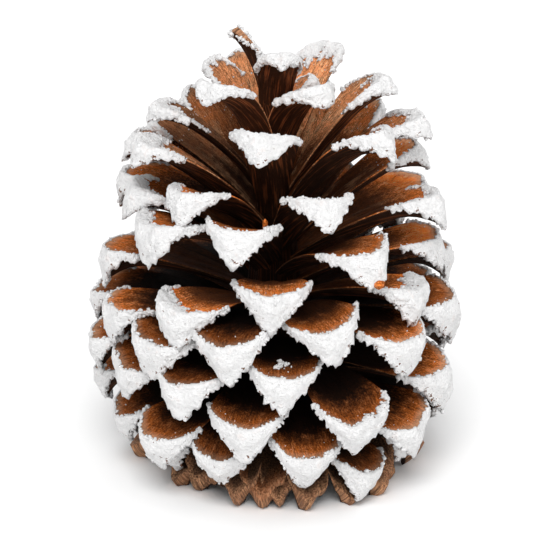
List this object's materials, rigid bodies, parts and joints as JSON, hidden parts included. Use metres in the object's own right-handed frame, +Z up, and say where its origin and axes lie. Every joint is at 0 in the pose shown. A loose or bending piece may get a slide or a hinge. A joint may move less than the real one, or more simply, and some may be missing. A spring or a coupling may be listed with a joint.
{
  "type": "pine cone",
  "caption": "Open pine cone that stands on its base: woody scales in one spiral, broad and drooping low down, steep and sparse at the tip, with white flocking on their ends.",
  "frame": {"origin": "centre of the bounding box at the bottom, on the surface that the cone stands on", "axes": "+Z up along the axis of the cone, -Y towards the viewer of the picture"},
  "size_m": [0.0654, 0.0658, 0.0803],
  "materials": {
    "cone_wood": "dry woody scales, dark brown beneath and rust brown above, with fine grain along each scale",
    "white_flocking": "matt white granular crust on the ends of the scales"
  },
  "bodies": {
    "root": {"pine_cone": "cone_wood"}
  },
  "joints": []
}
